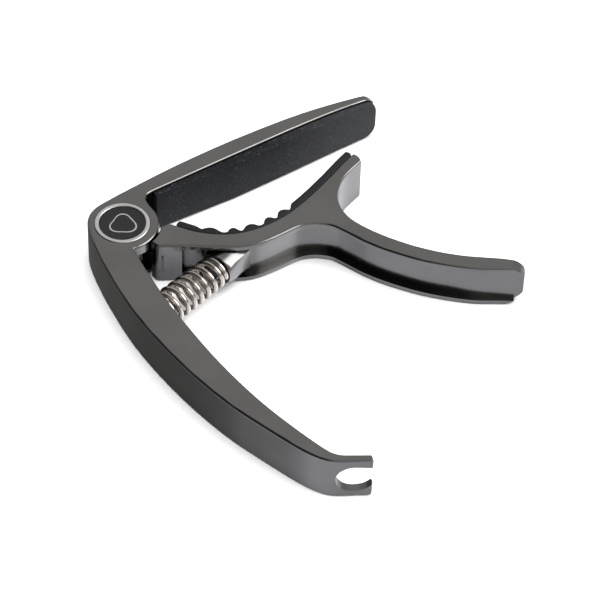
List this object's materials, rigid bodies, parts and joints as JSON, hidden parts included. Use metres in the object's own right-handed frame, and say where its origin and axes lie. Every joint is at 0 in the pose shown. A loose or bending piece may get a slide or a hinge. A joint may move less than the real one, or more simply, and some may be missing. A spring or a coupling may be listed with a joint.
{
  "type": "guitar capo",
  "caption": "Sprung guitar capo: a padded string bar and a ribbed neck jaw hinged on a pin, with squeeze handles and a forked bridge-pin puller.",
  "frame": {"origin": "centre of the footprint, on the surface that the capo lies on", "axes": "+X along the string bar from the pivot to its tip, +Y from the pin puller up to the string bar, +Z through the thickness, out of the badge"},
  "size_m": [0.0934, 0.1094, 0.0132],
  "materials": {
    "frame_plating": "satin gunmetal plating",
    "jaw_plating": "satin gunmetal plating",
    "string_rubber": "matt black rubber",
    "neck_rubber": "matt dark grey rubber",
    "pin_steel": "turned steel",
    "ring_steel": "plain spring steel",
    "bush_nylon": "natural nylon",
    "washer_nylon": "natural nylon",
    "badge_silver": "bright silver",
    "badge_black": "black with a low gloss",
    "spring_nickel": "bright nickel"
  },
  "bodies": {
    "frame_body": {"frame_casting": "frame_plating", "string_pad": "string_rubber", "pivot_pin": "pin_steel", "snap_ring": "ring_steel", "washer_lower": "washer_nylon", "washer_upper": "washer_nylon", "badge_ring": "badge_silver", "badge_disc": "badge_black", "spring": "spring_nickel"},
    "jaw_body": {"jaw_casting": "jaw_plating", "neck_pad": "neck_rubber", "pivot_bush": "bush_nylon"}
  },
  "joints": [
    {"name": "jaw_pivot", "type": "hinge", "parent": "frame_body", "child": "jaw_body", "pos_m": [-0.03354, 0.04339, 0.0065], "axis": [0, 0, -1], "range_deg": [0, 20], "stiffness_Nm_per_rad": 1.5, "springref_deg": -17.19, "deforming": ["spring"]}
  ]
}
